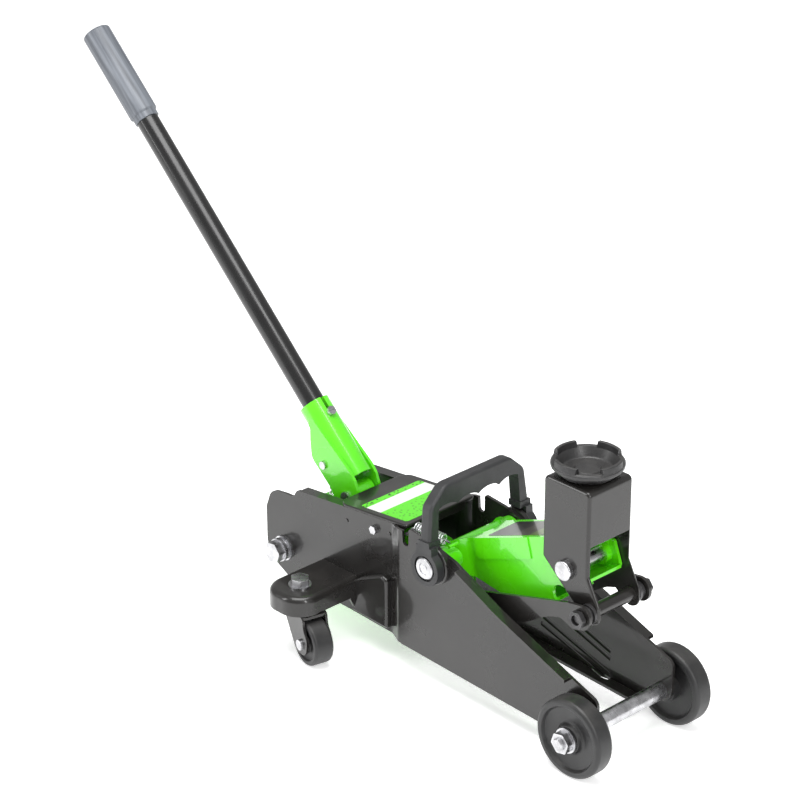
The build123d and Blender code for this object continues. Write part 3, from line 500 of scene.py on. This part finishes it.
# %% Cover sticker
def banded_print(name, start, end, bands, bars):
    """Hard-edged bands along X. Each of bars is (from, to, strength) of the dark flecks."""
    material, tree, shader, place = new_material(name)
    axis = new_node(tree, "ShaderNodeSeparateXYZ", (-700, 0))
    along = new_node(tree, "ShaderNodeMapRange", (-500, 0))
    along.inputs["From Min"].default_value = start
    along.inputs["From Max"].default_value = end
    ramp = new_node(tree, "ShaderNodeValToRGB", (-300, 0))
    ramp.color_ramp.interpolation = "CONSTANT"
    ramp.color_ramp.elements[0].position = 0.0
    ramp.color_ramp.elements[0].color = (*bands[0][1], 1.0)
    ramp.color_ramp.elements.remove(ramp.color_ramp.elements[1])
    for spot, colour in bands[1:]:
        ramp.color_ramp.elements.new(spot).color = (*colour, 1.0)
    fleck = new_node(tree, "ShaderNodeTexVoronoi", (-500, -300))
    fleck.inputs["Scale"].default_value = 260.0
    mark = new_node(tree, "ShaderNodeMapRange", (-300, -300))
    mark.inputs["From Min"].default_value = 0.30
    mark.inputs["From Max"].default_value = 0.26
    window = new_node(tree, "ShaderNodeValToRGB", (-300, -600))
    window.color_ramp.interpolation = "CONSTANT"
    window.color_ramp.elements[0].color = (0, 0, 0, 1)
    window.color_ramp.elements[1].position = bars[0][0]
    window.color_ramp.elements[1].color = (bars[0][2],) * 3 + (1,)
    for low, high, much in bars:
        if low != bars[0][0]:
            window.color_ramp.elements.new(low).color = (much, much, much, 1)
        window.color_ramp.elements.new(high).color = (0, 0, 0, 1)
    gate = new_node(tree, "ShaderNodeMath", (0, -300), operation="MULTIPLY")
    mix = new_node(tree, "ShaderNodeMix", (250, 0), data_type="RGBA")
    mix.inputs["B"].default_value = (0.012, 0.016, 0.010, 1.0)
    join(tree, place, axis.inputs["Vector"])
    join(tree, axis.outputs["X"], along.inputs["Value"])
    join(tree, along.outputs["Result"], ramp.inputs["Fac"])
    join(tree, along.outputs["Result"], window.inputs["Fac"])
    join(tree, place, fleck.inputs["Vector"])
    join(tree, fleck.outputs["Distance"], mark.inputs["Value"])
    join(tree, mark.outputs["Result"], gate.inputs[0])
    join(tree, window.outputs["Color"], gate.inputs[1])
    join(tree, gate.outputs["Value"], mix.inputs["Factor"])
    join(tree, ramp.outputs["Color"], mix.inputs["A"])
    join(tree, mix.outputs["Result"], shader.inputs["Base Color"])
    shader.inputs["Roughness"].default_value = 0.3
    shader.inputs["Coat Weight"].default_value = 0.4
    return material


LIME, PAPER, INK = (0.10, 0.66, 0.004), (0.78, 0.79, 0.76), (0.014, 0.013, 0.012)
COVER_PRINT = (0.0425, 0.1045)
cover_sheet = lay_sticker("cover_sticker", "top_cover", *COVER_PRINT, 0.038, 0.003)
cover_sheet.data.materials.append(banded_print(
    "Cover print", *COVER_PRINT, [(0.0, LIME), (0.13, PAPER), (0.435, LIME)],
    [(0.01, 0.12, 1.0), (0.50, 0.95, 0.55)]))
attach(cover_sheet, "frame")

# %% [markdown]
# ## The print on the arm
#
# The arm's sticker is nearly black, warms to grey-brown towards the front, and ends in
# lime flecks. It leaves a narrow green margin of painted metal along both edges.

# %% Arm sticker
ARM_PRINT = (0.1905, 0.2640)
arm_sheet = lay_sticker("arm_sticker", "lift_arm", *ARM_PRINT, 0.0200, 0.004)
arm_sheet.data.materials.append(banded_print(
    "Arm print", *ARM_PRINT,
    [(0.0, INK), (0.42, (0.055, 0.050, 0.040)), (0.70, (0.10, 0.16, 0.03)), (0.9, INK)],
    [(0.30, 0.98, 0.9)]))
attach(arm_sheet, "arm")


# %% [markdown]
# ## The studio
#
# A pale floor that runs off to white, and three large soft lamps: one above for the tops,
# one in front, and a tall one at the side that draws the long highlights. The sky has two
# strengths: the camera sees full white, while the metal is lit by a dimmer one, so that
# the black paint keeps its depth.

# %% Floor
bpy.ops.object.select_all(action="DESELECT")
bpy.ops.mesh.primitive_plane_add(size=14.0, location=(0, 0, 0))
floor = bpy.context.object
floor.name = "studio_floor"
paper, paper_tree, paper_shader, paper_place = new_material("Pale paper")
paper_shader.inputs["Base Color"].default_value = (0.93, 0.93, 0.93, 1.0)
paper_shader.inputs["Roughness"].default_value = 0.6
paper_shader.inputs["Emission Color"].default_value = (1.0, 1.0, 1.0, 1.0)
paper_shader.inputs["Emission Strength"].default_value = 0.5
floor.data.materials.append(paper)

# %% Sky and lamps
world = bpy.data.worlds.new("White room")
bpy.context.scene.world = world
world.use_nodes = True
sky = world.node_tree
seen = sky.nodes["Background"]
seen.inputs["Color"].default_value = (1.0, 1.0, 1.0, 1.0)
seen.inputs["Strength"].default_value = 1.0
fill = new_node(sky, "ShaderNodeBackground", (0, -200))
fill.inputs["Color"].default_value = (1.0, 1.0, 1.0, 1.0)
fill.inputs["Strength"].default_value = 0.5
ray = new_node(sky, "ShaderNodeLightPath", (-200, 200))
either = new_node(sky, "ShaderNodeMixShader", (200, 0))
join(sky, ray.outputs["Is Camera Ray"], either.inputs["Fac"])
join(sky, fill.outputs["Background"], either.inputs[1])
join(sky, seen.outputs["Background"], either.inputs[2])
join(sky, either.outputs["Shader"], sky.nodes["World Output"].inputs["Surface"])


def soft_lamp(name, place, aim, size, power):
    lamp = bpy.data.lights.new(name, "AREA")
    lamp.shape = "RECTANGLE"
    lamp.size, lamp.size_y = size
    lamp.energy = power
    holder = bpy.data.objects.new(name, lamp)
    bpy.context.scene.collection.objects.link(holder)
    holder.location = place
    holder.rotation_euler = (Vector(aim) - Vector(place)).to_track_quat("-Z", "Y").to_euler()
    return holder


soft_lamp("top lamp", (0.2, -0.3, 2.2), (0.0, 0.0, 0.1), (1.6, 1.6), 46.0)
soft_lamp("front lamp", (2.2, -0.6, 1.3), (0.1, 0.0, 0.15), (0.35, 1.8), 22.0)
soft_lamp("left lamp", (-1.2, -2.0, 1.2), (-0.1, 0.0, 0.2), (0.6, 1.6), 18.0)

# %% Camera
LENS_MM = 140.237
AZIMUTH, ELEVATION = math.radians(46.2125386), math.radians(25.4615104)
camera_data = bpy.data.cameras.new("camera")
camera_data.lens = LENS_MM
camera_data.sensor_width = 36.0
camera = bpy.data.objects.new("camera", camera_data)
bpy.context.scene.collection.objects.link(camera)
camera.location = (1.93791, -1.80385, 1.48568)
camera.rotation_euler = (math.pi / 2 - ELEVATION, 0.0, AZIMUTH)
bpy.context.scene.camera = camera
bpy.context.scene.view_settings.view_transform = "Standard"
